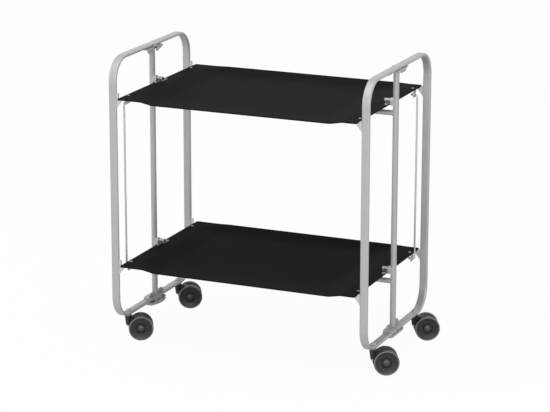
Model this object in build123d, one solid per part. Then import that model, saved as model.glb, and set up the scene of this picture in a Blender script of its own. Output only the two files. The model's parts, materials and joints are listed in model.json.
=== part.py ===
from build123d import *
import os

# A folding serving cart: two flat-oval tube loops, each split into a front and a rear half that hinge
# on a centre post, and two trays, each split into a front and a rear leaf that fold up about a spine.
# Millimetres. X runs along the cart, Y from front to rear, Z up; the origin is on the floor, centred.

# Trays
TRAY_LENGTH = 596.0
TRAY_DEPTH = 430.0
LOWER_LEVEL = 205.5  # end flange of the lower tray above the floor
TRAY_PITCH = 404.5
PANEL_THICK = 3.0
LEAF_SEAM = 1.0  # gap between the front and the rear leaf
FLANGE_WIDTH = 30.0  # level flange at the middle of each end
FLANGE_AT_EDGE = 60.0
RAMP_WIDTH = 68.0  # slope from the flange to the dish
RAMP_AT_EDGE = 45.0
DISH_DEPTH = 8.0
LIP_WIDTH = 70.0  # band along the long edge that rises from the dish
LIP_RISE = 3.0
TRAY_CORNER = 10.0

# Tube loops
TRAY_OVERHANG = 16.0  # long edge of the trays beyond the middle of the uprights
LOOP_HEIGHT = 632.0
TUBE_WIDTH = 20.0
TUBE_THICK = 8.0
BEND_RADIUS = 55.0
END_GAP = 8.0  # tray end to tube
LOOP_SEAM = 0.8  # between the rounded ends of two half loops

# Clearances
RUN = 0.05  # radial, a pin or axle that turns
FIT = 0.1  # radial, a pin or shank that is held
SLACK = 0.3  # radial at the rods' lower eyes, and between a leaf and its rests
PLATE_GAP = 0.4  # bracket plate to tube

# Centre posts, spines and hinge brackets
POST_DIAMETER = 14.0
POST_INSET = 4.0
SPINE_DIAMETER = 12.0
SPINE_DROP = 22.0
BRACKET_LENGTH = 80.0
BRACKET_SHEET = 3.0
BRACKET_CORNER = 7.0
BRACKET_BULGE = 10.0
BRACKET_BASE = 6.0  # plate under the lower bars
WEB_LENGTH = 42.0
WEB_RISE = 2.0  # top bracket's web above the middle of the bar
FIN_HEIGHT = 9.0  # gussets on both sides of the post
FIN_CHAMFER = 7.0
GATE_PIN_DIAMETER = 5.0
GATE_HEAD_DIAMETER = 9.0
GATE_HEAD_HEIGHT = 3.0
GATE_HEAD_SIDE = 1.0
GATE_TIP_DIAMETER = 6.5
GATE_TIP_HEIGHT = 1.5
GATE_TIP_SIDE = 0.5
PIN_COVER = 1.2  # tube wall left above the upper pins

# Leaf hinges
LEAF_PIN_DIAMETER = 5.0
LEAF_PIN_HEAD = 7.0
LEAF_PIN_HEAD_LENGTH = 1.5
KNUCKLE_DIAMETER = 9.0
KNUCKLE_LENGTH = 5.5
KNUCKLE_GAP = 1.0
KNUCKLE_LIFT = 3.0  # knuckle above the flange
STRAP_THICK = 2.0
STRAP_REACH = 28.0
STRAP_BEND = 11.0  # where the strap starts to rise to its knuckle
STRAP_RIVET = 19.0  # strap rivet from the middle
PIVOT_GAP = 1.5  # tray end to pivot bracket
PIVOT_WIDTH = 13.0
PIVOT_DROP = 4.0  # pivot bracket below the flange

# Rivets
RIVET_DIAMETER = 4.0
RIVET_HEAD = 6.6
RIVET_DOME = 1.4
RIVET_SIDE = 0.35
RIVET_FROM_END = 8.0
RIVET_FROM_EDGE = 45.0

# Link rods
ROD_DIAMETER = 4.5
ROD_GAP = 4.0  # tray end to rod axis
ROD_BEND = 6.0
ROD_LEG = 13.0
ROD_HEAD = 6.4
ROD_HEAD_LENGTH = 1.5
ROD_EYE_DROP = 15.0
LUG_SHEET = 2.5
LUG_WIDTH = 14.0
LUG_LENGTH = 12.0
LUG_MARGIN = 6.0  # lug below the eye
LUG_FROM_END = 2.0

# Ears on the uprights that carry the tray corners
EAR_THICK = 4.0
EAR_RISE = 10.0
EAR_WIDTH = 5.0
EAR_LAP = 5.0
EAR_LIP = 4.0
EAR_HEIGHT = 21.0

# Casters
WHEEL_DIAMETER = 60.0
WHEEL_WIDTH = 15.0
WHEEL_SPACING = 12.0  # between the inner faces of a pair
WHEEL_SHOULDER = 2.0
RIM_DIAMETER = 55.0
RIM_STEP = 0.6
FACE_DISH = 2.5  # slope of the face towards the recess
RECESS_DIAMETER = 26.0
RECESS_DEPTH = 4.5
HUB_DIAMETER = 21.0
HUB_RISE = 4.0
BAR_CLEAR = 2.0  # wheels to the lower bars
TRAIL = 30.0
CASTER_TURN = 28.0  # degrees, how far every caster stands turned from +X towards +Y
STEM_INSET = 6.0  # stem from the start of the tube's bend
STEM_DIAMETER = 8.0
STEM_COLLAR_DIAMETER = 16.0
STEM_COLLAR_HEIGHT = 2.5
STEM_HEAD_DIAMETER = 11.0
STEM_HEAD_HEIGHT = 3.0
STEM_TIP = 3.5  # stem above the bar, inside its nut
NUT_DIAMETER = 13.0
NUT_SIDE = 2.0
NUT_HEIGHT = 5.5
HOOD_THICK = 11.0
HOOD_MARGIN = 3.0  # wheel rim beyond the hood's round end
HOOD_CLEAR = 0.8  # boss to the wheels' treads
BOSS_DIAMETER = 18.0
BOSS_HEIGHT = 23.2
HOOD_NECK = 10.8  # underside of the web starts this far behind the stem
AXLE_DIAMETER = 8.0
AXLE_DEPTH = 8.0  # axle inside each wheel

# Places that follow from the sizes
TRAY_END = TRAY_LENGTH / 2
TRAY_EDGE = TRAY_DEPTH / 2
UPPER_LEVEL = LOWER_LEVEL + TRAY_PITCH
LOOP_X = TRAY_END + END_GAP + TUBE_WIDTH / 2
LOOP_Y = TRAY_EDGE - TRAY_OVERHANG
TUBE_INNER = LOOP_X - TUBE_WIDTH / 2
BAR_LOW = WHEEL_DIAMETER + BAR_CLEAR + TUBE_THICK / 2
BAR_HIGH = BAR_LOW + LOOP_HEIGHT
GATE_Y = (TUBE_WIDTH + LOOP_SEAM) / 2
POST_X = LOOP_X - POST_INSET
PLATE_NEAR = TUBE_THICK / 2 + PLATE_GAP
PLATE_FAR = PLATE_NEAR + BRACKET_SHEET
BASE_UNDER = BAR_LOW - PLATE_NEAR - BRACKET_BASE
WEB_OUTER = TUBE_INNER - PLATE_GAP
WEB_INNER = WEB_OUTER - BRACKET_SHEET
BRACKET_OUTER = LOOP_X + TUBE_WIDTH / 2
LEAF_AXIS = KNUCKLE_DIAMETER / 2 + KNUCKLE_LIFT
KNUCKLE_OUTER = TRAY_END - KNUCKLE_GAP
KNUCKLE_STEP = KNUCKLE_LENGTH + KNUCKLE_GAP
PIVOT_INNER = TRAY_END + PIVOT_GAP
RIVET_X = TRAY_END - RIVET_FROM_END
RIVET_Y = TRAY_EDGE - RIVET_FROM_EDGE
ROD_X = TRAY_END + ROD_GAP
STEM_Y = LOOP_Y - BEND_RADIUS - STEM_INSET
AXLE_Z = WHEEL_DIAMETER / 2
BAR_UNDER = BAR_LOW - TUBE_THICK / 2
BAR_TOP = BAR_LOW + TUBE_THICK / 2
COLLAR_UNDER = BAR_UNDER - STEM_COLLAR_HEIGHT
BOSS_TOP = COLLAR_UNDER - SLACK
BOSS_UNDER = BOSS_TOP - BOSS_HEIGHT

LEVELS = {"upper": UPPER_LEVEL, "lower": LOWER_LEVEL}
ENDS = {"front": -1, "rear": 1}
SIDES = {"left": -1, "right": 1}


def block(x0, x1, y0, y1, z0, z1):
    """A box between two corners."""
    return Pos((x0 + x1) / 2, (y0 + y1) / 2, (z0 + z1) / 2) * Box(x1 - x0, y1 - y0, z1 - z0)


def upright_round(x, y, z0, z1, diameter):
    """A round bar along Z."""
    return Pos(x, y, (z0 + z1) / 2) * Cylinder(diameter / 2, z1 - z0)


def level_round(x0, x1, y, z, diameter):
    """A round bar along X."""
    return Pos((x0 + x1) / 2, y, z) * Rot(0, 90, 0) * Cylinder(diameter / 2, x1 - x0)


def turned(outline):
    """A solid turned about Z from a closed outline of radius and height."""
    return revolve(Plane.XZ * outline, axis=Axis.Z)


def dome(radius, side, height):
    """A turned cap that stands on z = 0: a short straight side, then a round crown."""
    edge = Line((0, 0), (radius, 0))
    wall = Line((radius, 0), (radius, side))
    crown = TangentArc((0, height), (radius, side), tangent=(1, 0))
    axis = Line((0, height), (0, 0))
    return turned(make_face(edge + wall + crown + axis))


def place(shape, side, end):
    """Mirror a shape drawn in the right rear quarter to another quarter."""
    if side < 0:
        shape = mirror(shape, about=Plane.YZ)
    if end < 0:
        shape = mirror(shape, about=Plane.XZ)
    return shape


def tube_section():
    return SlotOverall(TUBE_WIDTH, TUBE_THICK)


def half_loop():
    """Half of a tube loop, with rounded ends bored for the gate pins and a hole for the caster stem."""
    corners = [(GATE_Y, BAR_HIGH), (LOOP_Y, BAR_HIGH), (LOOP_Y, BAR_LOW), (GATE_Y, BAR_LOW)]
    path = Plane.YZ.offset(LOOP_X) * FilletPolyline(*corners, radius=BEND_RADIUS)
    start = Plane(path @ 0, x_dir=(1, 0, 0), z_dir=path % 0)
    loop = sweep(start * tube_section(), path=path)
    half_section = tube_section() & Pos(TUBE_WIDTH / 2, 0) * Rectangle(TUBE_WIDTH, TUBE_THICK)
    round_end = Rot(0, 0, 180) * revolve(Plane.XZ * half_section, axis=Axis.Z, revolution_arc=180)
    bore = GATE_PIN_DIAMETER + 2 * RUN
    for bar in (BAR_LOW, BAR_HIGH):
        loop += Pos(LOOP_X, GATE_Y, bar) * round_end
    loop -= upright_round(LOOP_X, GATE_Y, BAR_LOW - TUBE_THICK, BAR_LOW + TUBE_THICK, bore)
    blind_top = BAR_HIGH + TUBE_THICK / 2 - PIN_COVER
    loop -= upright_round(LOOP_X, GATE_Y, BAR_HIGH - TUBE_THICK, blind_top, bore)
    stem_hole = STEM_DIAMETER + 2 * FIT
    loop -= upright_round(LOOP_X, STEM_Y, BAR_LOW - TUBE_THICK, BAR_LOW + TUBE_THICK, stem_hole)
    return loop


def ear(level):
    """Plate on an upright: a tab beside the tray's end, a shelf under its corner, a sloped lower edge."""
    rest = level - PANEL_THICK - SLACK
    tab = TUBE_INNER - EAR_WIDTH
    shelf = TRAY_END - EAR_LAP
    root = TUBE_INNER + TUBE_THICK / 2
    foot = rest - EAR_HEIGHT
    points = [(root, level + EAR_RISE), (tab, level + EAR_RISE), (tab, rest), (shelf, rest)]
    points += [(shelf, rest - EAR_LIP), (TUBE_INNER, foot), (root, foot)]
    outline = Plane.XZ.offset(-LOOP_Y) * make_face(Polyline(*points, close=True))
    plate = extrude(outline, amount=EAR_THICK / 2, both=True)
    upright = Pos(LOOP_X, LOOP_Y, 0) * tube_section()
    return plate - extrude(upright, amount=BAR_HIGH)


def ears():
    return ear(UPPER_LEVEL) + ear(LOWER_LEVEL)


def bracket_plate(bulge):
    """Outline of a hinge plate seen from above, with its inner edge straight or bulging inwards."""
    half = BRACKET_LENGTH / 2
    outer = FilletPolyline(
        (WEB_INNER, -half),
        (BRACKET_OUTER, -half),
        (BRACKET_OUTER, half),
        (WEB_INNER, half),
        radius=BRACKET_CORNER,
    )
    if bulge:
        inner = ThreePointArc((WEB_INNER, half), (WEB_INNER - bulge, 0), (WEB_INNER, -half))
    else:
        inner = Line((WEB_INNER, half), (WEB_INNER, -half))
    return make_face(outer + inner)


def bracket_web(z0, z1):
    """Short plate on the inner side of the bars."""
    return block(WEB_INNER, WEB_OUTER, -WEB_LENGTH / 2, WEB_LENGTH / 2, z0, z1)


def bracket_fin(root, tip):
    """Gusset beside the post, from its root on a plate to its chamfered edge, coped onto the post."""
    half = BRACKET_LENGTH / 2
    slant = FIN_CHAMFER if tip > root else -FIN_CHAMFER
    points = [(-half, root), (half, root), (half, tip - slant), (half - FIN_CHAMFER, tip)]
    points += [(FIN_CHAMFER - half, tip), (-half, tip - slant)]
    outline = Plane.YZ.offset(POST_X) * make_face(Polyline(*points, close=True))
    return extrude(outline, amount=-BRACKET_SHEET) - post()


def pin_holes(z0, z1):
    holes = upright_round(LOOP_X, GATE_Y, z0, z1, GATE_PIN_DIAMETER + 2 * FIT)
    return holes + upright_round(LOOP_X, -GATE_Y, z0, z1, GATE_PIN_DIAMETER + 2 * FIT)


def top_bracket():
    """Plate under the upper bars that carries the gate pins, with a web behind the bars and fins below."""
    under = BAR_HIGH - PLATE_FAR
    bracket = Pos(0, 0, under) * extrude(bracket_plate(0), amount=BRACKET_SHEET)
    bracket += bracket_web(under, BAR_HIGH + WEB_RISE)
    bracket += bracket_fin(under, under - FIN_HEIGHT)
    return bracket - pin_holes(under, BAR_HIGH)


def bottom_bracket():
    """Channel round the lower bars: a bulging plate below, a web behind and a plate with fins above."""
    top = BAR_LOW + PLATE_FAR
    bracket = Pos(0, 0, BASE_UNDER) * extrude(bracket_plate(BRACKET_BULGE), amount=BRACKET_BASE)
    bracket += Pos(0, 0, BAR_LOW + PLATE_NEAR) * extrude(bracket_plate(0), amount=BRACKET_SHEET)
    bracket += bracket_web(BASE_UNDER, top)
    bracket += bracket_fin(top, top + FIN_HEIGHT)
    return bracket - pin_holes(BASE_UNDER, top)


def gate_pins():
    """The four pins of one loop: domed heads below, the upper ones stopping inside the tube."""
    pins = Part()
    for y in (-GATE_Y, GATE_Y):
        pin = upright_round(LOOP_X, y, BASE_UNDER, BAR_LOW + PLATE_FAR, GATE_PIN_DIAMETER)
        head = dome(GATE_HEAD_DIAMETER / 2, GATE_HEAD_SIDE, GATE_HEAD_HEIGHT)
        pins += pin + Pos(LOOP_X, y, BASE_UNDER) * Rot(180, 0, 0) * head
        high = BAR_HIGH - PLATE_FAR
        top = BAR_HIGH + TUBE_THICK / 2 - PIN_COVER - SLACK
        pin = upright_round(LOOP_X, y, high, top, GATE_PIN_DIAMETER)
        tip = dome(GATE_TIP_DIAMETER / 2, GATE_TIP_SIDE, GATE_TIP_HEIGHT)
        pins += pin + Pos(LOOP_X, y, high) * Rot(180, 0, 0) * tip
    return pins


def post():
    return upright_round(POST_X, 0, BAR_LOW + PLATE_FAR, BAR_HIGH - PLATE_FAR, POST_DIAMETER)


def spine(level):
    """Round bar under the tray's middle, coped onto both posts."""
    bar = level_round(-POST_X, POST_X, 0, level - SPINE_DROP, SPINE_DIAMETER)
    for x in (-POST_X, POST_X):
        bar -= upright_round(x, 0, level - 2 * SPINE_DROP, level, POST_DIAMETER)
    return bar


def pivot(level):
    """Bracket on a post with a rounded head that holds the leaf pin."""
    axis = level + LEAF_AXIS
    half = PIVOT_WIDTH / 2
    head = Plane.YZ.offset(PIVOT_INNER) * Pos(0, axis) * Circle(half)
    body = Plane.YZ.offset(PIVOT_INNER) * Pos(0, (axis + level - PIVOT_DROP) / 2)
    body = body * Rectangle(PIVOT_WIDTH, axis - level + PIVOT_DROP)
    tongue = extrude(head + body, amount=POST_X - PIVOT_INNER) - post()
    return tongue - level_round(PIVOT_INNER, POST_X, 0, axis, LEAF_PIN_DIAMETER + 2 * FIT)


def leaf_pin(level):
    """Pin from a pivot through the knuckles of both leaves, with a head at its free end."""
    axis = level + LEAF_AXIS
    free_end = KNUCKLE_OUTER - 2 * KNUCKLE_STEP
    held_end = POST_X - POST_DIAMETER / 2 - SLACK
    pin = level_round(free_end, held_end, 0, axis, LEAF_PIN_DIAMETER)
    return pin + level_round(free_end - LEAF_PIN_HEAD_LENGTH, free_end, 0, axis, LEAF_PIN_HEAD)


def sloped_step(x0, z0, x1, z1):
    """Two equal arcs that lead from one level to another, level at both ends."""
    middle = ((x0 + x1) / 2, (z0 + z1) / 2)
    outward = 1 if x1 > x0 else -1
    upper = TangentArc((x0, z0), middle, tangent=(outward, 0))
    return upper + TangentArc((x1, z1), middle, tangent=(-outward, 0))


def leaf_skin(flange_width, ramp_width, floor, drop):
    """The top or, lowered by drop, the under side of a leaf seen along Y."""
    flange = TRAY_END - flange_width
    dish = flange - ramp_width
    line = Line((-dish, floor - drop), (dish, floor - drop))
    for side in (-1, 1):
        line += Line((side * TRAY_END, -drop), (side * flange, -drop))
        line += sloped_step(side * flange, -drop, side * dish, floor - drop)
    return line


def leaf_profile(flange_width, ramp_width, floor):
    """Closed section of a leaf across its length, with its dish at the given level."""
    top = leaf_skin(flange_width, ramp_width, floor, 0)
    under = leaf_skin(flange_width, ramp_width, floor, PANEL_THICK)
    ends = Line((-TRAY_END, 0), (-TRAY_END, -PANEL_THICK))
    ends += Line((TRAY_END, 0), (TRAY_END, -PANEL_THICK))
    return make_face(top + under + ends)


def strap_x(end):
    """Middle of a leaf's strap: the front leaf's lie outside the rear leaf's on the same pins."""
    outer = KNUCKLE_OUTER if end < 0 else KNUCKLE_OUTER - KNUCKLE_STEP
    return outer - KNUCKLE_LENGTH / 2


def panel(end):
    """Rear leaf of a tray at level 0: a dished sheet with a band along its long edge that rises."""
    inner = LEAF_SEAM / 2
    lip = TRAY_EDGE - LIP_WIDTH
    middle = leaf_profile(FLANGE_WIDTH, RAMP_WIDTH, -DISH_DEPTH)
    edge = leaf_profile(FLANGE_AT_EDGE, RAMP_AT_EDGE, LIP_RISE - DISH_DEPTH)
    sheet = extrude(Plane.XZ.offset(-inner) * middle, amount=lip - inner, dir=(0, 1, 0))
    sheet += loft([Plane.XZ.offset(-lip) * middle, Plane.XZ.offset(-TRAY_EDGE) * edge], ruled=True)
    outline = RectangleRounded(TRAY_LENGTH, TRAY_DEPTH, TRAY_CORNER)
    sheet &= extrude(outline, amount=DISH_DEPTH + 2 * PANEL_THICK, both=True)
    for x, y, top, drop in rivet_places(end):
        for side in (-1, 1):
            hole = RIVET_DIAMETER + 2 * FIT
            sheet -= upright_round(side * x, y, -2 * PANEL_THICK, PANEL_THICK, hole)
    return sheet


def rivet_places(end):
    """Place of each rivet, with the level under its head and what it holds below the sheet."""
    return [(strap_x(end), STRAP_RIVET, STRAP_THICK, 0), (RIVET_X, RIVET_Y, 0, LUG_SHEET)]


def rivet(top, under):
    """Rivet with a domed head at each end of its shank."""
    head = dome(RIVET_HEAD / 2, RIVET_SIDE, RIVET_DOME)
    body = upright_round(0, 0, under, top, RIVET_DIAMETER)
    return body + Pos(0, 0, top) * head + Pos(0, 0, under) * Rot(180, 0, 0) * head


def rivets(end):
    """The four rivets of a rear leaf; the lug's one on the right is longer."""
    group = Part()
    for x, y, top, lug in rivet_places(end):
        group += Pos(x, y, 0) * rivet(top, -PANEL_THICK - lug)
        group += Pos(-x, y, 0) * rivet(top, -PANEL_THICK)
    return group


def strap(end):
    """Hinge strap on the flange with a knuckle round the leaf pin."""
    eye = Pos(0, LEAF_AXIS) * Circle(KNUCKLE_DIAMETER / 2)
    edge = LEAF_SEAM / 2
    flat = Polyline((edge, 0), (STRAP_REACH, 0), (STRAP_REACH, STRAP_THICK), (edge, STRAP_THICK), close=True)
    rise = KNUCKLE_DIAMETER / 2
    bend = [(edge, 0), (STRAP_BEND, 0), (STRAP_BEND, STRAP_THICK), (rise, LEAF_AXIS), (0, LEAF_AXIS)]
    section = eye + make_face(flat) + make_face(Polyline(*bend, close=True))
    section -= Pos(0, LEAF_AXIS) * Circle(LEAF_PIN_DIAMETER / 2 + RUN)
    x = strap_x(end)
    body = extrude(Plane.YZ.offset(x) * section, amount=KNUCKLE_LENGTH / 2, both=True)
    return body - upright_round(x, STRAP_RIVET, -STRAP_THICK, 2 * STRAP_THICK, RIVET_DIAMETER + 2 * FIT)


def lug(clearance):
    """Angle under the flange: a leg that is riveted and a leg with the rod's eye."""
    outer = TRAY_END - LUG_FROM_END
    under = -PANEL_THICK - LUG_SHEET
    foot = -ROD_EYE_DROP - LUG_MARGIN
    low, high = RIVET_Y - LUG_WIDTH / 2, RIVET_Y + LUG_WIDTH / 2
    angle = block(outer - LUG_LENGTH, outer, low, high, under, -PANEL_THICK)
    angle += block(outer - LUG_SHEET, outer, low, high, foot, under)
    angle -= level_round(outer - LUG_LENGTH, TRAY_END, RIVET_Y, -ROD_EYE_DROP, ROD_DIAMETER + 2 * clearance)
    return angle - upright_round(RIVET_X, RIVET_Y, foot, 0, RIVET_DIAMETER + 2 * FIT)


def fittings(end, clearance):
    """A rear leaf's two hinge straps and its rod lug on the right."""
    right = strap(end)
    return right + mirror(right, about=Plane.YZ) + lug(clearance)


def rod():
    """Link rod between the upper and lower leaf, hooked inwards through both lugs."""
    tip = ROD_X - ROD_LEG
    high, low = UPPER_LEVEL - ROD_EYE_DROP, LOWER_LEVEL - ROD_EYE_DROP
    corners = [(tip, high), (ROD_X, high), (ROD_X, low), (tip, low)]
    path = Plane.XZ.offset(-RIVET_Y) * FilletPolyline(*corners, radius=ROD_BEND)
    bar = sweep(Plane(path @ 0, z_dir=path % 0) * Circle(ROD_DIAMETER / 2), path=path)
    for z in (low, high):
        bar += level_round(tip - ROD_HEAD_LENGTH, tip, RIVET_Y, z, ROD_HEAD)
    return bar


def stem():
    """Caster stem: a collar under the bar, a shank through bar and hood, a head that holds the hood."""
    shank = upright_round(0, 0, BOSS_UNDER - SLACK, BAR_TOP + STEM_TIP, STEM_DIAMETER)
    collar = upright_round(0, 0, COLLAR_UNDER, BAR_UNDER, STEM_COLLAR_DIAMETER)
    head_top = BOSS_UNDER - SLACK
    head = upright_round(0, 0, head_top - STEM_HEAD_HEIGHT, head_top, STEM_HEAD_DIAMETER)
    return shank + collar + head


def stem_nut():
    """Domed nut on top of the bar."""
    cap = Pos(0, 0, BAR_TOP) * dome(NUT_DIAMETER / 2, NUT_SIDE, NUT_HEIGHT)
    return cap - upright_round(0, 0, BAR_LOW, BAR_TOP + STEM_TIP + SLACK, STEM_DIAMETER + 2 * FIT)


def caster_hood():
    """Body between the wheels: a boss on the stem, hollowed round the wheels, and a web round the axle."""
    radius = WHEEL_DIAMETER / 2 - HOOD_MARGIN
    top = AXLE_Z + radius
    points = [(0, BOSS_UNDER), (0, top), (TRAIL, top), (TRAIL, AXLE_Z), (HOOD_NECK, BOSS_UNDER)]
    web = make_face(Polyline(*points, close=True)) + Pos(TRAIL, AXLE_Z) * Circle(radius)
    at_axle = Pos(TRAIL, 0, AXLE_Z) * Rot(90, 0, 0)
    reach = WHEEL_DIAMETER / 2 + HOOD_CLEAR
    boss = upright_round(0, 0, BOSS_UNDER, BOSS_TOP, BOSS_DIAMETER)
    boss -= at_axle * (Cylinder(reach, BOSS_DIAMETER) - Cylinder(reach, HOOD_THICK))
    hood = extrude(Plane.XZ * web, amount=HOOD_THICK / 2, both=True) + boss
    hood -= upright_round(0, 0, BOSS_UNDER, BAR_LOW, STEM_DIAMETER + 2 * RUN)
    hood -= upright_round(0, 0, 0, BOSS_UNDER, STEM_HEAD_DIAMETER + 2 * SLACK)
    return hood - at_axle * Cylinder(AXLE_DIAMETER / 2 + RUN, 2 * HOOD_THICK)


def axle():
    length = WHEEL_SPACING + 2 * AXLE_DEPTH
    return Pos(TRAIL, 0, AXLE_Z) * Rot(90, 0, 0) * Cylinder(AXLE_DIAMETER / 2, length)


def wheel():
    """One wheel turned about Z: rounded tread, rim step, recessed disc and a domed hub, blind axle bore."""
    radius = WHEEL_DIAMETER / 2
    rim = RIM_DIAMETER / 2
    recess = RECESS_DIAMETER / 2
    hub = HUB_DIAMETER / 2
    shoulder = WHEEL_SHOULDER
    bore = AXLE_DIAMETER / 2 + FIT
    inner = WHEEL_SPACING / 2
    face = inner + WHEEL_WIDTH
    depth = inner + AXLE_DEPTH + SLACK
    lip = face - FACE_DISH
    floor = face - RECESS_DEPTH
    line = Polyline((0, depth), (bore, depth), (bore, inner), (radius - shoulder, inner))
    line += TangentArc((radius - shoulder, inner), (radius, inner + shoulder), tangent=(1, 0))
    line += Line((radius, inner + shoulder), (radius, face - shoulder))
    line += TangentArc((radius, face - shoulder), (radius - shoulder, face), tangent=(0, 1))
    line += Polyline((radius - shoulder, face), (rim, face), (rim - RIM_STEP, face - RIM_STEP), (recess, lip))
    line += Polyline((recess, lip), (recess, floor), (hub, floor))
    line += TangentArc((0, floor + HUB_RISE), (hub, floor), tangent=(1, 0))
    line += Line((0, floor + HUB_RISE), (0, depth))
    return turned(make_face(line))


def wheels():
    outer = Rot(90, 0, 0) * wheel()
    pair = outer + mirror(outer, about=Plane.XZ)
    return Pos(TRAIL, 0, AXLE_Z) * pair


def centre_frame():
    nodes = {}
    shapes = {"post": post(), "top_bracket": top_bracket(), "bottom_bracket": bottom_bracket()}
    shapes["gate_pins"] = gate_pins()
    for side_name, side in SIDES.items():
        for name, shape in shapes.items():
            nodes[f"{side_name}_{name}"] = place(shape, side, 1)
        for level_name, level in LEVELS.items():
            nodes[f"{level_name}_{side_name}_pivot"] = place(pivot(level), side, 1)
    pins = Part()
    for level_name, level in LEVELS.items():
        nodes[f"{level_name}_spine"] = spine(level)
        pin = leaf_pin(level)
        pins += pin + mirror(pin, about=Plane.YZ)
    nodes["leaf_pins"] = pins
    return nodes


def tray_leaves():
    """The leaves are drawn at the rear right; a front leaf has its rod on the left."""
    nodes = {}
    link = rod()
    for end_name, end in ENDS.items():
        sheet = place(panel(end), end, end)
        fasteners = place(rivets(end), end, end)
        for level_name, level in LEVELS.items():
            at_level = Pos(0, 0, level)
            leaf = f"{level_name}_{end_name}"
            eye_clearance = RUN if level_name == "upper" else SLACK
            nodes[f"{leaf}_panel"] = at_level * sheet
            nodes[f"{leaf}_fittings"] = at_level * place(fittings(end, eye_clearance), end, end)
            nodes[f"{leaf}_rivets"] = at_level * fasteners
        nodes[f"{end_name}_rod"] = place(link, end, end)
    return nodes


def gates():
    """Half loops with their ears and casters; every caster stands turned the same way."""
    nodes = {}
    mirrored = {"half_loop": half_loop(), "ears": ears()}
    casters = {"stem": stem(), "stem_nut": stem_nut(), "caster_hood": caster_hood()}
    casters.update({"axle": axle(), "wheels": wheels()})
    for end_name, end in ENDS.items():
        for side_name, side in SIDES.items():
            corner = f"{end_name}_{side_name}"
            at_stem = Pos(side * LOOP_X, end * STEM_Y, 0) * Rot(0, 0, CASTER_TURN)
            for name, shape in mirrored.items():
                nodes[f"{corner}_{name}"] = place(shape, side, end)
            for name, shape in casters.items():
                nodes[f"{corner}_{name}"] = at_stem * shape
    return nodes


os.makedirs("parts", exist_ok=True)
for name, shape in {**centre_frame(), **tray_leaves(), **gates()}.items():
    export_step(shape, f"parts/{name}.step")
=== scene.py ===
import json
import math

import bmesh
import bpy
from mathutils import Matrix, Vector


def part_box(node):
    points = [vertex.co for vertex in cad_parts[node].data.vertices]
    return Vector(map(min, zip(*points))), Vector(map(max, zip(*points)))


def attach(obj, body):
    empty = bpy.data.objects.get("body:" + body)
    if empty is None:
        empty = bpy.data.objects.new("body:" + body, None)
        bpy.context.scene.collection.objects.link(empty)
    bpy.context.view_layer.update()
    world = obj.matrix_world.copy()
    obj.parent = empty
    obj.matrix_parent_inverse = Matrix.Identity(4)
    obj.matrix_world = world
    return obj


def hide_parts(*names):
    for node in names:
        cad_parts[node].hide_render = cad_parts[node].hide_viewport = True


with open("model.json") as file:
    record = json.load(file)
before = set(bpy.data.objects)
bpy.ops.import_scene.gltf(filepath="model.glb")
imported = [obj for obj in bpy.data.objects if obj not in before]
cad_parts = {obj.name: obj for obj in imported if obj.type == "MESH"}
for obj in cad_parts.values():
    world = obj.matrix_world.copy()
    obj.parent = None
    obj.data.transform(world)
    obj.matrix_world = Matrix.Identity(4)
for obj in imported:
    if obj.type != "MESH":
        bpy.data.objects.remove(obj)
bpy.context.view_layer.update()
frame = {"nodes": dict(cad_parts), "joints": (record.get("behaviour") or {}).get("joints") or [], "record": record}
nodes = frame["nodes"]
joints = {joint["name"]: joint for joint in frame["joints"]}
mm = 0.001
levels = ("upper", "lower")
ends = {"front": -1, "rear": 1}
sides = {"left": -1, "right": 1}
corners = [f"{end}_{side}" for end in ends for side in sides]
upward = Vector((0, 0, 1))
print("frame loaded,", len(nodes), "nodes")


# camera, matched to the photograph's vanishing lines
cameraLook = {
    "azimuth": 23.42,
    "elevation": 15.36,
    "roll": -0.085,
    "distance": 5.74,
    "aimRight": 0.0088,
    "aimUp": 0.3200,
    "focalPixels": 2374.0,
    "frameWidth": 550,
    "sensorWidth": 36.0,
    "clipEnd": 50.0,
}


def makeCamera(look):
    azimuth, elevation = math.radians(look["azimuth"]), math.radians(look["elevation"])
    ahead = Vector((
        -math.sin(azimuth) * math.cos(elevation),
        math.cos(azimuth) * math.cos(elevation),
        -math.sin(elevation),
    ))
    right = ahead.cross(upward).normalized()
    up = right.cross(ahead)
    turn = Matrix.Rotation(math.radians(look["roll"]), 3, ahead)
    right, up = turn @ right, turn @ up
    data = bpy.data.cameras.new("camera")
    data.sensor_width = look["sensorWidth"]
    data.lens = look["focalPixels"] * look["sensorWidth"] / look["frameWidth"]
    data.clip_end = look["clipEnd"]
    camera = bpy.data.objects.new("camera", data)
    camera.matrix_world = Matrix((right, up, -ahead)).transposed().to_4x4()
    camera.location = right * look["aimRight"] + up * look["aimUp"] - ahead * look["distance"]
    bpy.context.scene.collection.objects.link(camera)
    bpy.context.scene.camera = camera


makeCamera(cameraLook)
print("camera placed")


# shader nodes that the studio and the finishes share
def mathNode(tree, operation, first, second, clamp=False):
    node = tree.nodes.new("ShaderNodeMath")
    node.operation = operation
    node.use_clamp = clamp
    for index, value in enumerate((first, second)):
        if isinstance(value, (int, float)):
            node.inputs[index].default_value = value
        else:
            tree.links.new(value, node.inputs[index])
    return node.outputs[0]


def spanValue(tree, value, low, high):
    node = tree.nodes.new("ShaderNodeMapRange")
    node.inputs["To Min"].default_value = low
    node.inputs["To Max"].default_value = high
    tree.links.new(value, node.inputs["Value"])
    return node.outputs["Result"]


# studio: pale floor, white surround, a soft light overhead and two fills
studioLook = {
    "floorSize": 14.0,
    "floorColour": (0.9, 0.9, 0.89, 1),
    "floorRoughness": 0.9,
    "floorSpecular": 0.1,
    "floorGlow": 0.96,
    "surround": 0.55,
    "aimHeight": 0.35,
    "lamps": [
        {"name": "overhead", "place": (-0.3, -1.2, 3.4), "size": 2.6, "power": 34},
        {"name": "frontFill", "place": (2.0, -3.4, 1.5), "size": 2.4, "power": 46},
        {"name": "leftFill", "place": (-3.0, -1.6, 1.4), "size": 1.8, "power": 16},
    ],
}


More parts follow.
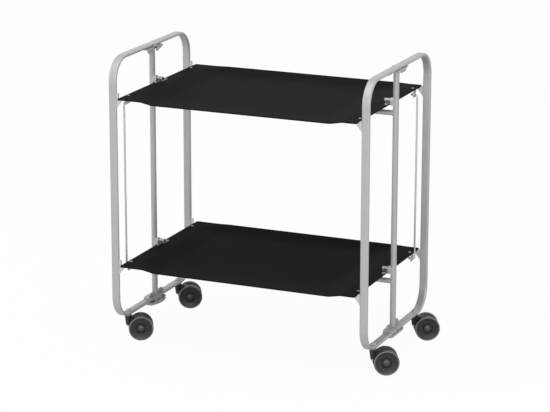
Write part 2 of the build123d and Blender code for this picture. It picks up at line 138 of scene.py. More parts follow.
def makeSurround(look):  # full white where it is seen or mirrored, weaker as a light
    world = bpy.data.worlds.new("surround")
    world.use_nodes = True
    tree = world.node_tree
    ray = tree.nodes.new("ShaderNodeLightPath")
    seen = mathNode(tree, "MAXIMUM", ray.outputs["Is Camera Ray"], ray.outputs["Is Glossy Ray"])
    seen = mathNode(tree, "MAXIMUM", seen, ray.outputs["Is Transmission Ray"])
    background = tree.nodes["Background"]
    background.inputs["Color"].default_value = (1, 1, 1, 1)
    tree.links.new(spanValue(tree, seen, look["surround"], 1.0), background.inputs["Strength"])
    bpy.context.scene.world = world


def makeLamp(lamp, aimHeight):
    data = bpy.data.lights.new(lamp["name"], "AREA")
    data.size = lamp["size"]
    data.energy = lamp["power"]
    lampObject = bpy.data.objects.new(lamp["name"], data)
    lampObject.location = lamp["place"]
    aim = Vector((0, 0, aimHeight)) - Vector(lamp["place"])
    lampObject.rotation_euler = aim.to_track_quat("-Z", "Y").to_euler()
    bpy.context.scene.collection.objects.link(lampObject)


def makePaper(look):  # the floor's own glow, for the camera only, thins its shadows
    material = bpy.data.materials.new("palePaper")
    material.use_nodes = True
    tree = material.node_tree
    shader = tree.nodes["Principled BSDF"]
    shader.inputs["Base Color"].default_value = look["floorColour"]
    shader.inputs["Roughness"].default_value = look["floorRoughness"]
    shader.inputs["Specular IOR Level"].default_value = look["floorSpecular"]
    glow = tree.nodes.new("ShaderNodeEmission")
    ray = tree.nodes.new("ShaderNodeLightPath")
    mix = tree.nodes.new("ShaderNodeMixShader")
    share = mathNode(tree, "MULTIPLY", ray.outputs["Is Camera Ray"], look["floorGlow"])
    tree.links.new(share, mix.inputs["Fac"])
    tree.links.new(shader.outputs[0], mix.inputs[1])
    tree.links.new(glow.outputs[0], mix.inputs[2])
    tree.links.new(mix.outputs[0], tree.nodes["Material Output"].inputs["Surface"])
    return material


def makeFloor(look):
    half = look["floorSize"] / 2
    square = [(-half, -half, 0), (half, -half, 0), (half, half, 0), (-half, half, 0)]
    mesh = bpy.data.meshes.new("floor")
    mesh.from_pydata(square, [], [(0, 1, 2, 3)])
    mesh.materials.append(makePaper(look))
    floor = bpy.data.objects.new("floor", mesh)
    bpy.context.scene.collection.objects.link(floor)


bpy.context.scene.view_settings.view_transform = "Standard"
makeSurround(studioLook)
for lamp in studioLook["lamps"]:
    makeLamp(lamp, studioLook["aimHeight"])
makeFloor(studioLook)
print("studio lit")


# shader groups that every finish uses
groupLook = {
    "fineDetail": 3.0,
    "broadDetail": 2.0,
    "edgeSamples": 4,
    "edgeBreakScale": 160.0,
    "edgeBreakDetail": 3.0,
    "dustDetail": 4.0,
    "dustSteepness": 3.0,
}


def newGroup(name, inputs, outputs):
    group = bpy.data.node_groups.new(name, "ShaderNodeTree")
    for label, kind in inputs.items():
        group.interface.new_socket(label, in_out="INPUT", socket_type=kind)
    for label in outputs:
        group.interface.new_socket(label, in_out="OUTPUT", socket_type="NodeSocketFloat")
    return group, group.nodes.new("NodeGroupInput"), group.nodes.new("NodeGroupOutput")


def noiseNode(tree, vector, scale, detail):
    node = tree.nodes.new("ShaderNodeTexNoise")
    node.inputs["Detail"].default_value = detail
    if isinstance(scale, (int, float)):
        node.inputs["Scale"].default_value = scale
    else:
        tree.links.new(scale, node.inputs["Scale"])
    tree.links.new(vector, node.inputs["Vector"])
    return node.outputs["Fac"]


def makeGrainGroup(look):  # fine speckle and a slow drift of tone
    group, given, put = newGroup(
        "surfaceGrain",
        {"Fine Scale": "NodeSocketFloat", "Broad Scale": "NodeSocketFloat", "Stretch": "NodeSocketVector"},
        ("Fine", "Broad"),
    )
    place = group.nodes.new("ShaderNodeTexCoord").outputs["Object"]
    stretched = group.nodes.new("ShaderNodeVectorMath")
    stretched.operation = "MULTIPLY"
    group.links.new(place, stretched.inputs[0])
    group.links.new(given.outputs["Stretch"], stretched.inputs[1])
    fine = noiseNode(group, stretched.outputs[0], given.outputs["Fine Scale"], look["fineDetail"])
    broad = noiseNode(group, place, given.outputs["Broad Scale"], look["broadDetail"])
    group.links.new(fine, put.inputs["Fine"])
    group.links.new(broad, put.inputs["Broad"])
    return group


def makeWearGroup(look):  # mask along edges, broken up by noise
    group, given, put = newGroup(
        "edgeWear", {"Radius": "NodeSocketFloat", "Gain": "NodeSocketFloat"}, ("Mask",))
    rounded = group.nodes.new("ShaderNodeBevel")
    rounded.samples = look["edgeSamples"]
    group.links.new(given.outputs["Radius"], rounded.inputs["Radius"])
    surface = group.nodes.new("ShaderNodeNewGeometry")
    dot = group.nodes.new("ShaderNodeVectorMath")
    dot.operation = "DOT_PRODUCT"
    group.links.new(rounded.outputs["Normal"], dot.inputs[0])
    group.links.new(surface.outputs["Normal"], dot.inputs[1])
    edge = mathNode(group, "SUBTRACT", 1.0, dot.outputs["Value"])
    place = group.nodes.new("ShaderNodeTexCoord").outputs["Object"]
    broken = noiseNode(group, place, look["edgeBreakScale"], look["edgeBreakDetail"])
    edge = mathNode(group, "MULTIPLY", edge, given.outputs["Gain"])
    mask = mathNode(group, "MULTIPLY", edge, broken, clamp=True)
    group.links.new(mask, put.inputs["Mask"])
    return group


def makeDustGroup(look):  # thin dust on what faces up
    group, given, put = newGroup(
        "settledDust", {"Scale": "NodeSocketFloat", "Amount": "NodeSocketFloat"}, ("Mask",))
    surface = group.nodes.new("ShaderNodeNewGeometry")
    split = group.nodes.new("ShaderNodeSeparateXYZ")
    group.links.new(surface.outputs["Normal"], split.inputs[0])
    place = group.nodes.new("ShaderNodeTexCoord").outputs["Object"]
    patches = noiseNode(group, place, given.outputs["Scale"], look["dustDetail"])
    level = mathNode(group, "MAXIMUM", split.outputs["Z"], 0.0)
    level = mathNode(group, "POWER", level, look["dustSteepness"])
    mask = mathNode(group, "MULTIPLY", level, patches)
    mask = mathNode(group, "MULTIPLY", mask, given.outputs["Amount"], clamp=True)
    group.links.new(mask, put.inputs["Mask"])
    return group


grainGroup = makeGrainGroup(groupLook)
wearGroup = makeWearGroup(groupLook)
dustGroup = makeDustGroup(groupLook)
print("shader groups ready")


def placeGroup(tree, group, values):
    node = tree.nodes.new("ShaderNodeGroup")
    node.node_tree = group
    for label, value in values.items():
        node.inputs[label].default_value = value
    return node.outputs


def mixColour(tree, factor, first, second):
    node = tree.nodes.new("ShaderNodeMix")
    node.data_type = "RGBA"
    for socket, value in ((node.inputs[6], first), (node.inputs[7], second)):
        if isinstance(value, tuple):
            socket.default_value = (*value, 1)
        else:
            tree.links.new(value, socket)
    tree.links.new(factor, node.inputs[0])
    return node.outputs[2]


# finishes
frameSilver = {
    "metallic": 0.35, "specular": 0.5, "roughness": (0.36, 0.48), "dustRoughness": 0.3,
    "dark": (0.40, 0.405, 0.40), "light": (0.50, 0.505, 0.50), "worn": (0.62, 0.62, 0.62),
    "fineScale": 2600, "broadScale": 9, "drift": 0.25, "stretch": (1, 1, 1),
    "edgeRadius": 0.0009, "edgeGain": 2.5, "bump": 0.12, "bumpDepth": 0.0004,
    "dustColour": (0.5, 0.49, 0.47), "dustScale": 35, "dust": 0.12,
}
# painted highlight: the ears share the frame's silver paint, but this copy is painted lighter for the light they
# catch
earSilverPaintedHighlight = dict(
    frameSilver, dark=(0.55, 0.555, 0.55), light=(0.66, 0.665, 0.66), roughness=(0.34, 0.44))
brightSteel = {
    "metallic": 1.0, "specular": 0.5, "roughness": (0.24, 0.38), "dustRoughness": 0.3,
    "dark": (0.50, 0.50, 0.51), "light": (0.66, 0.66, 0.67), "worn": (0.75, 0.75, 0.75),
    "fineScale": 900, "broadScale": 30, "drift": 0.3, "stretch": (1, 1, 0.06),
    "edgeRadius": 0.0005, "edgeGain": 2.0, "bump": 0.15, "bumpDepth": 0.0003,
    "dustColour": (0.5, 0.49, 0.47), "dustScale": 60, "dust": 0.1,
}
rivetGrey = dict(
    brightSteel, dark=(0.34, 0.34, 0.345), light=(0.5, 0.5, 0.51), roughness=(0.3, 0.46),
    stretch=(1, 1, 1))
pinBlack = {
    "metallic": 0.3, "specular": 0.5, "roughness": (0.32, 0.5), "dustRoughness": 0.3,
    "dark": (0.02, 0.02, 0.021), "light": (0.04, 0.04, 0.042), "worn": (0.2, 0.2, 0.2),
    "fineScale": 1600, "broadScale": 40, "drift": 0.3, "stretch": (1, 1, 1),
    "edgeRadius": 0.0004, "edgeGain": 2.0, "bump": 0.15, "bumpDepth": 0.0003,
    "dustColour": (0.3, 0.29, 0.28), "dustScale": 60, "dust": 0.1,
}
casterDark = {
    "metallic": 0.0, "specular": 0.45, "roughness": (0.34, 0.44), "dustRoughness": 0.3,
    "dark": (0.015, 0.0175, 0.0175), "light": (0.025, 0.029, 0.029), "worn": (0.12, 0.13, 0.13),
    "fineScale": 1500, "broadScale": 25, "drift": 0.3, "stretch": (1, 1, 1),
    "edgeRadius": 0.0008, "edgeGain": 3.0, "bump": 0.12, "bumpDepth": 0.0003,
    "dustColour": (0.2, 0.2, 0.19), "dustScale": 50, "dust": 0.08,
}
# painted highlight: the rim bead is the wheel's own dark plastic, painted light grey for the gleam along its edge
casterRimHighlight = dict(
    casterDark, dark=(0.14, 0.15, 0.15), light=(0.2, 0.21, 0.21), roughness=(0.26, 0.34), specular=0.5)
# painted highlight: the hub dome is the wheel's own dark plastic, painted lighter for the gleam on its dome
casterHubHighlight = dict(
    casterDark, dark=(0.04, 0.044, 0.044), light=(0.07, 0.074, 0.074), roughness=(0.2, 0.28), specular=0.6)
trayBlack = {
    "metallic": 0.0, "specular": 0.006, "roughness": (0.5, 0.6), "dustRoughness": 0.3,
    "dark": (0.0086, 0.0081, 0.0078), "light": (0.0136, 0.0128, 0.0124), "worn": (0.02, 0.0195, 0.019),
    "fineScale": 1300, "broadScale": 5, "drift": 0.3, "stretch": (1, 1, 1),
    "edgeRadius": 0.0008, "edgeGain": 0.6, "bump": 0.25, "bumpDepth": 0.0004,
    "dustColour": (0.1, 0.097, 0.094), "dustScale": 14, "dust": 0.02,
}


def makeFinish(name, look):
    material = bpy.data.materials.new(name)
    material.use_nodes = True
    tree = material.node_tree
    shader = tree.nodes["Principled BSDF"]
    shader.inputs["Metallic"].default_value = look["metallic"]
    shader.inputs["Specular IOR Level"].default_value = look["specular"]
    grain = placeGroup(tree, grainGroup, {
        "Fine Scale": look["fineScale"], "Broad Scale": look["broadScale"], "Stretch": look["stretch"]})
    wear = placeGroup(tree, wearGroup, {"Radius": look["edgeRadius"], "Gain": look["edgeGain"]})
    dust = placeGroup(tree, dustGroup, {"Scale": look["dustScale"], "Amount": look["dust"]})
    colour = mixColour(tree, spanValue(tree, grain["Fine"], 0.0, 1.0), look["dark"], look["light"])
    colour = mixColour(tree, spanValue(tree, grain["Broad"], 0.0, look["drift"]), colour, look["light"])
    colour = mixColour(tree, wear["Mask"], colour, look["worn"])
    colour = mixColour(tree, dust["Mask"], colour, look["dustColour"])
    tree.links.new(colour, shader.inputs["Base Color"])
    roughness = spanValue(tree, grain["Broad"], *look["roughness"])
    dulled = mathNode(tree, "MULTIPLY", dust["Mask"], look["dustRoughness"])
    roughness = mathNode(tree, "ADD", roughness, dulled, clamp=True)
    tree.links.new(roughness, shader.inputs["Roughness"])
    bump = tree.nodes.new("ShaderNodeBump")
    bump.inputs["Strength"].default_value = look["bump"]
    bump.inputs["Distance"].default_value = look["bumpDepth"]
    tree.links.new(grain["Fine"], bump.inputs["Height"])
    tree.links.new(bump.outputs["Normal"], shader.inputs["Normal"])
    return material


# the ear, wheel-rim and wheel-hub finishes are lighter copies of the frame's and the wheels' own colours and hold
# painted highlights
finishes = {
    "frame_silver": makeFinish("frameSilver", frameSilver),
    "ear_silver": makeFinish("earSilverPaintedHighlight", earSilverPaintedHighlight),
    "bright_steel": makeFinish("brightSteel", brightSteel),
    "rivet_grey": makeFinish("rivetGrey", rivetGrey),
    "pin_black": makeFinish("pinBlack", pinBlack),
    "caster_dark": makeFinish("casterDark", casterDark),
    "caster_rim_highlight": makeFinish("casterRimHighlight", casterRimHighlight),
    "caster_hub_highlight": makeFinish("casterHubHighlight", casterHubHighlight),
    "tray_black": makeFinish("trayBlack", trayBlack),
}
print("finishes mixed:", len(finishes))


# carried-over solids: finish, smooth faces and, on cut plates, a small round on their edges
edgeLook = {
    "sharpAbove": 32.0,
    "flatWithin": 0.3,
    "round": 0.4 * mm,
    "segments": 2,
    "plates": ("bracket", "ears", "pivot", "fittings", "hood"),
}


def smoothFaces(mesh):
    mesh.shade_smooth()
    mesh.set_sharp_from_angle(angle=math.radians(edgeLook["sharpAbove"]))


def addBevel(piece, width, sharpAbove=edgeLook["sharpAbove"]):
    edge = piece.modifiers.new("breakEdges", "BEVEL")
    edge.width = width
    edge.segments = edgeLook["segments"]
    edge.limit_method = "ANGLE"
    edge.angle_limit = math.radians(sharpAbove)
    edge.harden_normals = True


def breakEdges(plate):
    flat = plate.modifiers.new("joinFacets", "DECIMATE")
    flat.decimate_type = "DISSOLVE"
    flat.angle_limit = math.radians(edgeLook["flatWithin"])
    addBevel(plate, edgeLook["round"])


def dressNode(node, slot):
    mesh = nodes[node].data
    mesh.materials.clear()
    mesh.materials.append(finishes[slot])
    smoothFaces(mesh)
    if node.endswith(edgeLook["plates"]):
        breakEdges(nodes[node])


for entry in frame["record"]["subparts"]:
    dressNode(entry["node"], entry["material_slot"])
print("solids dressed")


# hinge straps: black like the trays, with silver knuckles and bright rod lugs;
# the pins' inner heads are black too
strapLook = {"knuckle": 6 * mm, "reach": 40 * mm, "pinHead": 290.5 * mm, "finish": "pin_black"}


def paintFaces(node, finish, isPainted):
    mesh = nodes[node].data
    mesh.materials.append(finishes[finish])
    for face in mesh.polygons:
        if isPainted(face.center):
            face.material_index = len(mesh.materials) - 1


for level in levels:
    for end in ends:
        fittings = f"{level}_{end}_fittings"
        paintFaces(fittings, strapLook["finish"], lambda place: abs(place.y) < strapLook["reach"])
        paintFaces(fittings, "frame_silver", lambda place: abs(place.y) < strapLook["knuckle"])
paintFaces("leaf_pins", strapLook["finish"], lambda place: abs(place.x) < strapLook["pinHead"])
print("straps painted")


# what the scene's own pieces share
def addPiece(name, mesh, body, slot):
    piece = bpy.data.objects.new(name, mesh)
    bpy.context.scene.collection.objects.link(piece)
    mesh.materials.append(finishes[slot])
    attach(piece, body)
    return piece


def meshFrom(shape, name):
    bmesh.ops.recalc_face_normals(shape, faces=shape.faces)
    mesh = bpy.data.meshes.new(name)
    shape.to_mesh(mesh)
    shape.free()
    return mesh


def gridFaces(columns, rows):
    faces = []
    for row in range(rows - 1):
        for column in range(columns - 1):
            low, high = row * columns + column, (row + 1) * columns + column
            faces.append((low, low + 1, high + 1, high))
    return faces


def addPrism(shape, outline, start, stop):
    loops = [[shape.verts.new((x, y, z)) for y, z in outline] for x in (start, stop)]
    for loop in loops:
        shape.faces.new(loop)
    for i in range(len(outline)):
        j = (i + 1) % len(outline)
        shape.faces.new((loops[0][i], loops[0][j], loops[1][j], loops[1][i]))


def turnAngles(count):
    return [2 * math.pi * i / count for i in range(count)]


def between(pair, share):
    return pair[0] + (pair[1] - pair[0]) * share


# tray leaves: one sheet each, level at its ends, easing down into the dish and up again along the long edge
leafLook = {
    "sheet": 3.0 * mm,
    # level end, in the middle and at the long edge
    "flange": {"left": (30 * mm, 58 * mm), "right": (30 * mm, 32 * mm)},
    "ramp": (68 * mm, 34 * mm),
    "crease": 0.16,  # share of the ramp that bends, at its head and at its foot
    "dish": {"front": (8 * mm, 5.5 * mm), "rear": (8 * mm, -1.0 * mm)},
    "lip": 70 * mm,
    "corner": 5 * mm,
    "columns": 161,
    "rows": (10, 16, 8),  # dish, rising band, rounded corner
    "seam": 0.02 * mm,
    "edgeRound": 0.15 * mm,
    "sharpAbove": 50.0,
}


def eased(share, crease):
    share = min(max(share, 0.0), 1.0)
    slope = 1 / (1 - crease)
    if share < crease:
        return slope * share * share / (2 * crease)
    if share > 1 - crease:
        return 1 - slope * (1 - share) ** 2 / (2 * crease)
    return slope * (share - crease / 2)


def leafHeight(x, y, reach, edge, end, look):
    band = min(max((y - edge + look["lip"]) / look["lip"], 0.0), 1.0)
    share = band * band * (2 - band)
    level = look["flange"]["right" if x > 0 else "left"]
    flange, ramp, dish = (between(pair, share) for pair in (level, look["ramp"], look["dish"][end]))
    return -dish * eased((reach - flange - abs(x)) / ramp, look["crease"])


def leafRows(inner, edge, look):
    bandStart, cornerStart = edge - look["lip"], edge - look["corner"]
    dishRows, bandRows, cornerRows = look["rows"]
    rows = [inner + (bandStart - inner) * i / dishRows for i in range(dishRows)]
    rows += [bandStart + (cornerStart - bandStart) * i / bandRows for i in range(bandRows)]
    for i in range(cornerRows + 1):
        rows.append(cornerStart + look["corner"] * math.sin(math.pi / 2 * i / cornerRows))
    return rows


def thicken(piece, look):
    sheet = piece.modifiers.new("sheet", "SOLIDIFY")
    sheet.thickness = look["sheet"]
    sheet.offset = -1
    sheet.use_even_offset = True
    addBevel(piece, look["edgeRound"], look["sharpAbove"])


def makeLeaf(level, end, look):
    node, name = f"{level}_{end}_panel", f"{level}_{end}_leaf_sheet"
    low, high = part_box(node)
    facing, reach, top = ends[end], high.x, high.z
    edge = max(abs(low.y), abs(high.y))
    held = reach - 2 * look["corner"]  # columns inside this keep their place
    points = []
    for y in leafRows(look["seam"] / 2, edge, look):
        over = max(y - edge + look["corner"], 0.0)
        rowEnd = reach - look["corner"] + math.sqrt(max(look["corner"] ** 2 - over ** 2, 0.0))
        for column in range(look["columns"]):
            x = reach * (2 * column / (look["columns"] - 1) - 1)
            height = leafHeight(x, y, reach, edge, end, look)
            if abs(x) > held:
                x = math.copysign(held + (abs(x) - held) * (rowEnd - held) / (reach - held), x)
            points.append((x, facing * y, top + height))
    faces = gridFaces(look["columns"], len(points) // look["columns"])
    if facing < 0:
        faces = [tuple(reversed(face)) for face in faces]
    mesh = bpy.data.meshes.new(name)
    mesh.from_pydata(points, [], faces)
    mesh.shade_smooth()
    piece = addPiece(name, mesh, f"{level}_{end}_leaf", "tray_black")
    thicken(piece, look)
    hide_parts(node)


for level in levels:
    for end in ends:
        makeLeaf(level, end, leafLook)
print("tray leaves laid")


# strip on the rear leaf that laps under the front one and closes the seam
lapLook = {
    "reach": 7 * mm,
    "sheet": 1.0 * mm,
    "gap": 0.1 * mm,
    "short": 3 * mm,
    "columns": 121,
    "edgeRound": 0.3 * mm,
    "sharpAbove": 50.0,
}


def makeLap(level, look):
    name, high = f"{level}_seam_lap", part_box(f"{level}_rear_panel")[1]
    points = []
    for y in (-look["reach"], look["reach"]):
        for column in range(look["columns"]):
            x = (high.x - look["short"]) * (2 * column / (look["columns"] - 1) - 1)
            height = leafHeight(x, 0.0, high.x, high.y, "rear", leafLook) - leafLook["sheet"] - look["gap"]
            points.append((x, y, high.z + height))
    mesh = bpy.data.meshes.new(name)
    mesh.from_pydata(points, [], gridFaces(look["columns"], 2))
    mesh.shade_smooth()
    thicken(addPiece(name, mesh, f"{level}_rear_leaf", "tray_black"), look)


for level in levels:
    makeLap(level, lapLook)
print("seams lapped")


# top brackets: a channel under the bars with a fin on each side of the post, and a tab behind the bars
bracketLook = {
    "sheet": 3.0 * mm,
    "finDrop": 9.0 * mm,
    "fins": [  # place behind the inner side, then the outline along the bar and down, in mm
        (0, [(-40, 0), (-7, 0), (-7, -9), (-33, -9), (-40, -2)]),
        (0, [(7, 0), (40, 0), (40, -2), (12, -9), (7, -9)]),
        (16.7, [(6, 0), (40, 0), (40, -2), (34, -9), (6, -9)]),
        (16.7, [(-15, 0), (-6, 0), (-6, -7)]),
    ],
    "tabWidth": 14.0 * mm,
    "round": 0.4 * mm,
}


def addBlock(shape, start, stop, width, low, high):
    half = width / 2
    addPrism(shape, [(-half, low), (half, low), (half, high), (-half, high)], start, stop)


def makeTopBracket(side, look):
    node, name = f"{side}_top_bracket", f"{side}_bracket_channel"
    low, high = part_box(node)
    facing = sides[side]
    inner, outer = sorted((abs(low.x), abs(high.x)))
    root, sheet = low.z + look["finDrop"], look["sheet"]
    shape = bmesh.new()
    addBlock(shape, facing * inner, facing * outer, high.y - low.y, root, root + sheet)
    addBlock(shape, facing * inner, facing * (inner + sheet), look["tabWidth"], root, high.z)
    for behind, outline in look["fins"]:
        place = inner + behind * mm
        outline = [(y * mm, root + z * mm) for y, z in outline]
        addPrism(shape, outline, facing * place, facing * (place + sheet))
    mesh = meshFrom(shape, name)
    smoothFaces(mesh)
    piece = addPiece(name, mesh, "centre_frame", "frame_silver")
    addBevel(piece, look["round"])
    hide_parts(node)


for side in sides:
    makeTopBracket(side, bracketLook)
print("top brackets bent")


# caster wheels: turned profile of radius and distance from the middle of the pair
wheelLook = {
    # the second and third finishes are painted highlights on the rim bead and on the hub dome
    "finishes": ("caster_dark", "caster_rim_highlight", "caster_hub_highlight"),
    "inner": 6.0 * mm,
    "face": 21.0 * mm,
    "tread": 30.0 * mm,
    "shoulder": 2.0 * mm,
    "partingWidth": 0.7 * mm,
    "partingDepth": 0.35 * mm,
    "rim": 27.6 * mm,
    "rimBead": 0.8 * mm,
    "dish": 4.2 * mm,
    "recess": 13.8 * mm,
    "recessFloor": 12.0 * mm,
    "hub": 10.0 * mm,
    "hubTop": 20.5 * mm,
    "tip": 0.01 * mm,  # a ring smaller than this closes in one point
    "bore": 4.05 * mm,
    "innerStep": 1.2 * mm,
    "innerRing": 24.0 * mm,
    "arcSteps": 5,
    "turnSteps": 96,
}


def arcPoints(centre, radius, start, stop, steps):
    turn = [math.radians(start + (stop - start) * i / steps) for i in range(steps + 1)]
    return [(centre[0] + radius * math.cos(angle), centre[1] + radius * math.sin(angle)) for angle in turn]


def wheelProfile(look):
    inner, face, step, steps = look["inner"], look["face"], look["innerStep"], look["arcSteps"]
    tread, shoulder, ring = look["tread"], look["shoulder"], look["innerRing"]
    rim, bead, floor = look["rim"], look["rimBead"], look["recessFloor"]
    middle = (inner + face) / 2
    line = [(look["bore"], inner + step), (ring, inner + step), (ring + step, inner)]
    line += arcPoints((tread - shoulder, inner + shoulder), shoulder, -90, 0, steps)
    line.append((tread, middle - look["partingWidth"]))
    line.append((tread - look["partingDepth"], middle))
    line.append((tread, middle + look["partingWidth"]))
    line += arcPoints((tread - shoulder, face - shoulder), shoulder, 0, 90, steps)
    line += arcPoints((rim, face - bead), bead, 90, 180, steps)
    rimLow, lip = (rim - bead, face - 2 * bead), (look["recess"], face - look["dish"])
    line.append(rimLow)
    for i in range(1, steps + 1):  # hollow face, steeper near the rim
        radius = between((rimLow[0], lip[0]), i / steps)
        line.append((radius, between((rimLow[1], lip[1]), math.sin(math.pi / 2 * i / steps))))
    line += [(lip[0] - bead, lip[1] - bead), (lip[0] - bead, floor), (look["hub"], floor)]
    for i in range(1, 2 * steps + 1):  # domed hub
        angle = math.pi / 2 * i / (2 * steps)
        radius = max(look["hub"] * math.cos(angle), 0.0)
        line.append((radius, between((floor, look["hubTop"]), math.sin(angle))))
    return line


def wheelFinish(radius, offset, look):
    # the rim bead's faces take the painted highlight of the rim
    if radius > look["rim"] - look["rimBead"] and offset > look["face"] - look["shoulder"] / 2:
        return "caster_rim_highlight"
    # the hub dome's faces take the painted highlight of the hub
    if radius <= look["hub"] and offset >= look["recessFloor"]:
        return "caster_hub_highlight"
    return "caster_dark"


def addWheel(shape, centre, axle, way, look):
    ahead = axle.cross(upward)
    turns, profile = turnAngles(look["turnSteps"]), wheelProfile(look)
    spokes = [ahead * math.cos(angle) + upward * math.sin(angle) for angle in turns]
    rings = []
    for radius, offset in profile:
        hub = centre + axle * way * offset
        reaches = [hub] if radius < look["tip"] else [hub + spoke * radius for spoke in spokes]
        rings.append([shape.verts.new(point) for point in reaches])
    for ring, nextRing, (radius, offset) in zip(rings, rings[1:], profile):
        finish = look["finishes"].index(wheelFinish(radius, offset, look))
        for i in range(len(turns)):
            j = (i + 1) % len(turns)
            tip = (nextRing[0],) if len(nextRing) == 1 else (nextRing[j], nextRing[i])
            shape.faces.new((ring[i], ring[j], *tip)).material_index = finish
    back = shape.verts.new(centre + axle * way * (look["inner"] + look["innerStep"]))
    for i in range(len(turns)):
        shape.faces.new((rings[0][i], back, rings[0][(i + 1) % len(turns)]))


def makeWheelPair(corner, look):
    roll, name = joints[f"{corner}_roll"], f"{corner}_wheel_pair"
    centre, axle = Vector(roll["pos_m"]), Vector(roll["axis"]).normalized()
    shape = bmesh.new()
    for way in (-1, 1):
        addWheel(shape, centre, axle, way, look)
    mesh = meshFrom(shape, name)
    smoothFaces(mesh)
    plain, *others = look["finishes"]
    piece = addPiece(name, mesh, f"{corner}_wheel_set", plain)
    for finish in others:
        mesh.materials.append(finishes[finish])
    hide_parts(f"{corner}_wheels")


for corner in corners:
    makeWheelPair(corner, wheelLook)
print("wheels turned")


# caster hoods: a boss that narrows downwards, a web to the axle and a round end between the wheels
hoodLook = {
    "thick": 11.0 * mm,
    "round": 27.0 * mm,
    "neck": 10.8 * mm,
    "bossTop": 9.0 * mm,
    "bossFoot": 6.0 * mm,
    "foot": 36.0 * mm,
    "edge": 0.8 * mm,
    "turnSteps": 64,
}


def addCone(shape, foot, top, depth, place, look):
    bmesh.ops.create_cone(shape, cap_ends=True, segments=look["turnSteps"], radius1=foot, radius2=top,
                          depth=depth, matrix=place)


def makeHood(corner, look):
    node, name = f"{corner}_caster_hood", f"{corner}_hood_shell"
    stem, axle = (Vector(joints[f"{corner}_{motion}"]["pos_m"]) for motion in ("swivel", "roll"))
    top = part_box(node)[1].z
    ahead = Vector((axle.x - stem.x, axle.y - stem.y, 0))
    trail = ahead.length
    ahead.normalize()
    turn = Matrix((upward.cross(ahead), ahead, upward)).transposed().to_4x4()
    half, foot, roof = look["thick"] / 2, look["foot"], axle.z + look["round"]
    shape = bmesh.new()
    web = [(0, foot), (look["neck"], foot), (trail, axle.z), (trail, roof), (0, roof)]
    addPrism(shape, web, -half, half)
    across = Matrix.Translation((0, trail, axle.z)) @ Matrix.Rotation(math.pi / 2, 4, "Y")
    addCone(shape, look["round"], look["round"], look["thick"], across, look)
    upright = Matrix.Translation((0, 0, (foot + top) / 2))
    addCone(shape, look["bossFoot"], look["bossTop"], top - foot, upright, look)
    bmesh.ops.transform(shape, matrix=Matrix.Translation((stem.x, stem.y, 0)) @ turn, verts=shape.verts)
    mesh = meshFrom(shape, name)
    smoothFaces(mesh)
    piece = addPiece(name, mesh, f"{corner}_caster", "caster_dark")
    addBevel(piece, look["edge"])
    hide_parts(node)


for corner in corners:
    makeHood(corner, hoodLook)
print("hoods moulded")


# weld beads round the posts' ends, where the spines meet the posts and along the ears
weldLook = {
    "radius": 1.0 * mm,
    "ripple": 0.22,
    "ripplePitch": 2.4 * mm,
    "askew": (0.31, 0.17, 0.94),  # along none of the beads
    "sides": 8,
    "steps": 72,
    "post": 7.0 * mm,
    "spine": 6.0 * mm,
    "earWeld": (10 * mm, 26 * mm),  # below the ear's top
    "earSteps": 20,
    "levelDrop": 404.5 * mm,  # from the upper tray to the lower one
}


def addBead(shape, path, look, closed):
    turns, count = turnAngles(look["sides"]), len(path)
    rings, run = [], 0.0
    for i, point in enumerate(path):
        before = path[i - 1] if closed or i > 0 else point
        after = path[(i + 1) % count] if closed or i < count - 1 else point
        along = (after - before).normalized()
        side = along.cross(Vector(look["askew"])).normalized()
        lift = along.cross(side)
        run += (point - before).length
        radius = look["radius"] * (1 + look["ripple"] * math.sin(2 * math.pi * run / look["ripplePitch"]))
        spokes = [side * math.cos(angle) + lift * math.sin(angle) for angle in turns]
        rings.append([shape.verts.new(point + spoke * radius) for spoke in spokes])
    for i in range(count if closed else count - 1):
        ring, nextRing = rings[i], rings[(i + 1) % count]
        for k in range(look["sides"]):
            m = (k + 1) % look["sides"]
            shape.faces.new((ring[k], ring[m], nextRing[m], nextRing[k]))
    if not closed:
        shape.faces.new(rings[0])
        shape.faces.new(rings[-1])


def finishBeads(shape, name, body):
    mesh = meshFrom(shape, name)
    mesh.shade_smooth()
    addPiece(name, mesh, body, "frame_silver")


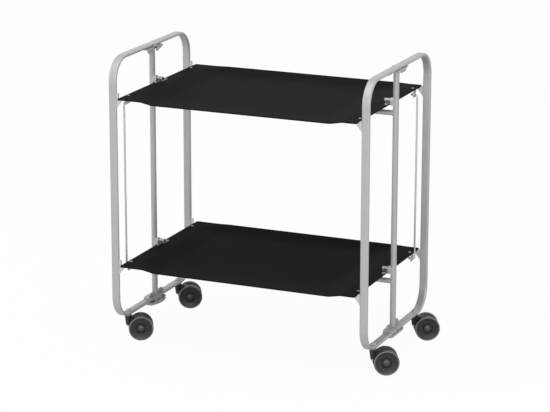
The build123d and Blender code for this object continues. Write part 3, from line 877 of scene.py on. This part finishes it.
def weldCentre(look):
    shape = bmesh.new()
    turns, reach, radius = turnAngles(look["steps"]), look["post"], look["spine"]
    for side, facing in sides.items():
        low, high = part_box(f"{side}_post")
        middle = (low.x + high.x) / 2
        for z in (low.z, high.z):
            path = [Vector((middle + reach * math.cos(angle), reach * math.sin(angle), z)) for angle in turns]
            addBead(shape, path, look, True)
        for level in levels:
            spineLow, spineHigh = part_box(f"{level}_spine")
            height = (spineLow.z + spineHigh.z) / 2
            path = []
            for angle in turns:
                y = radius * math.cos(angle)
                inward = math.sqrt(reach ** 2 - y ** 2)
                path.append(Vector((middle - facing * inward, y, height + radius * math.sin(angle))))
            addBead(shape, path, look, True)
    finishBeads(shape, "centre_welds", "centre_frame")


def weldEars(corner, look):
    low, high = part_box(f"{corner}_ears")
    edge = high.x if high.x > 0 else low.x
    shares = [i / look["earSteps"] for i in range(look["earSteps"] + 1)]
    shape = bmesh.new()
    for drop in (0.0, look["levelDrop"]):
        span = [high.z - drop - below for below in look["earWeld"]]
        for y in (low.y, high.y):
            path = [Vector((edge, y, between(span, share))) for share in shares]
            addBead(shape, path, look, False)
    finishBeads(shape, f"{corner}_ear_welds", f"{corner}_gate")


weldCentre(weldLook)
for corner in corners:
    weldEars(corner, weldLook)
print("welds laid")


# right ears: cut off just above the trays, as the photograph shows no tab there
earLook = {"side": "right", "above": 1.0 * mm}


def trimEars(corner, look):
    node, name = f"{corner}_ears", f"{corner}_ear_plates"
    shape = bmesh.new()
    shape.from_mesh(nodes[node].data)
    tops = [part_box(f"{level}_front_panel")[1].z for level in levels]
    middle = sum(tops) / 2
    for top in tops:
        shape.verts.index_update()
        isNear = [(vert.co.z > middle) == (top > middle) for vert in shape.verts]
        geometry = [vert for vert in shape.verts if isNear[vert.index]]
        for items in (shape.edges, shape.faces):
            geometry += [item for item in items if isNear[item.verts[0].index]]
        cut = bmesh.ops.bisect_plane(shape, geom=geometry, plane_co=upward * (top + look["above"]),
                                     plane_no=upward, clear_outer=True)
        rim = [item for item in cut["geom_cut"] if isinstance(item, bmesh.types.BMEdge)]
        bmesh.ops.holes_fill(shape, edges=rim)
    mesh = meshFrom(shape, name)
    smoothFaces(mesh)
    # the ear finish is the frame's silver painted lighter, a painted highlight
    piece = addPiece(name, mesh, f"{corner}_gate", "ear_silver")
    breakEdges(piece)
    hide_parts(node)


for end in ends:
    trimEars(f"{end}_{earLook['side']}", earLook)
print("right ears cut")
